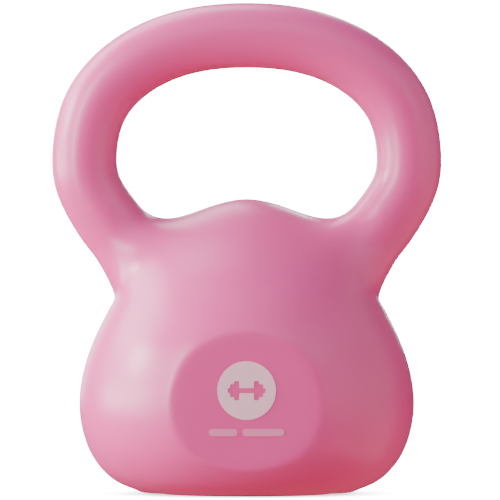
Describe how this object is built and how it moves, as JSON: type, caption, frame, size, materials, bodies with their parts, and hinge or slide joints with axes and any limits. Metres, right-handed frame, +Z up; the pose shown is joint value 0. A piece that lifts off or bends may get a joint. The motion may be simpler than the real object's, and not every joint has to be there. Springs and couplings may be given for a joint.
{
  "type": "kettlebell",
  "caption": "Kettlebell with a fat pear-shaped body, pinched neck, thick one-piece loop handle, flat oval faces front and back, and a flat base with a rubber ring.",
  "frame": {"origin": "on the floor, under the middle of the base", "axes": "+Z up through the handle, +X to the right across the handle, -Y towards the front with the printed oval"},
  "size_m": [0.1746, 0.1249, 0.2198],
  "materials": {
    "pink_shell": "satin",
    "plug_plastic": "satin",
    "ballast": "matte",
    "base_rubber": "matte",
    "seal_rubber": "matte",
    "pale_print": "satin",
    "faint_print": "satin"
  },
  "bodies": {
    "root": {"shell": "pink_shell", "ballast": "ballast", "filler_plug": "plug_plastic", "plug_seal": "seal_rubber", "base_pad": "base_rubber", "front_mark_disc": "pale_print", "front_mark_bar_left": "faint_print", "front_mark_bar_right": "faint_print"}
  },
  "joints": []
}
